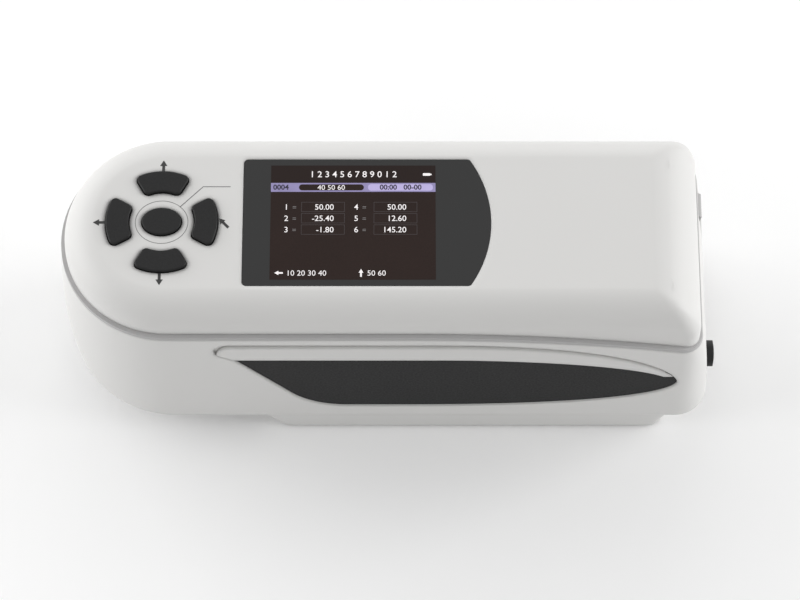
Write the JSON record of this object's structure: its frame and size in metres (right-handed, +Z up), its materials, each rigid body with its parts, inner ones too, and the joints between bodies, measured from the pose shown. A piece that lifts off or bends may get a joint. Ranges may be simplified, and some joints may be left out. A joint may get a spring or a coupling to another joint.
{
  "type": "portable colorimeter",
  "caption": "Hand-held colorimeter with a rounded keypad end, a dark display window, black side grips, a base shoe and a measuring aperture underneath.",
  "frame": {"origin": "Middle of the footprint on the floor plane, under the four feet.", "axes": "+Z up; +X from the rounded keypad end to the squared end with the measuring key; +Y to the far side in the picture."},
  "size_m": [0.208, 0.0674, 0.0843],
  "materials": {
    "shell_white": "fine satin moulding, off-white",
    "trim_grey": "fine satin moulding, mid grey",
    "grip_black": "soft-touch grip, fine grain, black",
    "key_black": "soft-touch keys, fine grain, dark grey",
    "window_black": "dark window panel, satin gloss",
    "screen": "colour screen module",
    "foam_black": "thin foam",
    "inner_black": "moulded internal plastic, black",
    "board_green": "circuit board with green solder mask",
    "switch_black": "small switch bodies",
    "steel": "plated steel",
    "cell_wrap": "shrink-wrapped rechargeable cell",
    "sphere_white": "matt white diffuse coating",
    "anodised_black": "black anodised, machined",
    "lens_glass": "clear coated glass",
    "lamp_clear": "clear lamp bodies",
    "shoe_white": "fine satin moulding, off-white",
    "foot_rubber": "grey-black rubber pads"
  },
  "bodies": {
    "housing": {"upper_shell": "shell_white", "lower_shell": "shell_white", "seam_trim": "trim_grey", "near_grip": "grip_black", "far_grip": "grip_black", "base_shoe": "shoe_white", "rubber_feet": "foot_rubber", "display_window": "window_black", "display_gasket": "foam_black", "display_module": "screen", "display_frame": "inner_black", "front_board": "board_green", "key_switches": "switch_black", "main_board": "board_green", "end_board": "board_green", "measure_switch": "switch_black", "rocker_switch": "inner_black", "usb_socket": "steel", "battery_cell": "cell_wrap", "battery_cradle": "inner_black", "battery_contacts": "steel", "optics_frame": "anodised_black", "sphere_lower": "sphere_white", "sphere_upper": "sphere_white", "receiver_barrel": "anodised_black", "receiver_lens": "lens_glass", "sensor_board": "board_green", "lamps": "lamp_clear", "aperture_nose": "anodised_black", "housing_screws": "steel", "shoe_screws": "steel", "board_screws": "steel", "optics_screws": "steel"},
    "menu_key": {"menu_key": "key_black"},
    "up_key": {"up_key": "key_black"},
    "down_key": {"down_key": "key_black"},
    "left_key": {"left_key": "key_black"},
    "right_key": {"right_key": "key_black"},
    "measure_key": {"measure_key": "key_black"},
    "power_rocker": {"power_rocker": "trim_grey"}
  },
  "joints": [
    {"name": "menu_key_press", "type": "slide", "parent": "housing", "child": "menu_key", "axis": [0, 0, -1], "range_m": [0, 0.0007], "stiffness_N_per_m": 600, "springref_m": -0.001},
    {"name": "up_key_press", "type": "slide", "parent": "housing", "child": "up_key", "axis": [0, 0, -1], "range_m": [0, 0.0007], "stiffness_N_per_m": 600, "springref_m": -0.001},
    {"name": "down_key_press", "type": "slide", "parent": "housing", "child": "down_key", "axis": [0, 0, -1], "range_m": [0, 0.0007], "stiffness_N_per_m": 600, "springref_m": -0.001},
    {"name": "left_key_press", "type": "slide", "parent": "housing", "child": "left_key", "axis": [0, 0, -1], "range_m": [0, 0.0007], "stiffness_N_per_m": 600, "springref_m": -0.001},
    {"name": "right_key_press", "type": "slide", "parent": "housing", "child": "right_key", "axis": [0, 0, -1], "range_m": [0, 0.0007], "stiffness_N_per_m": 600, "springref_m": -0.001},
    {"name": "measure_key_press", "type": "slide", "parent": "housing", "child": "measure_key", "axis": [-1, 0, 0], "range_m": [0, 0.0012], "stiffness_N_per_m": 600, "springref_m": -0.001},
    {"name": "power_rocker_tilt", "type": "hinge", "parent": "housing", "child": "power_rocker", "pos_m": [0.0948, 0.02, 0.0492], "axis": [0, -1, 0], "range_deg": [0, 12]}
  ]
}
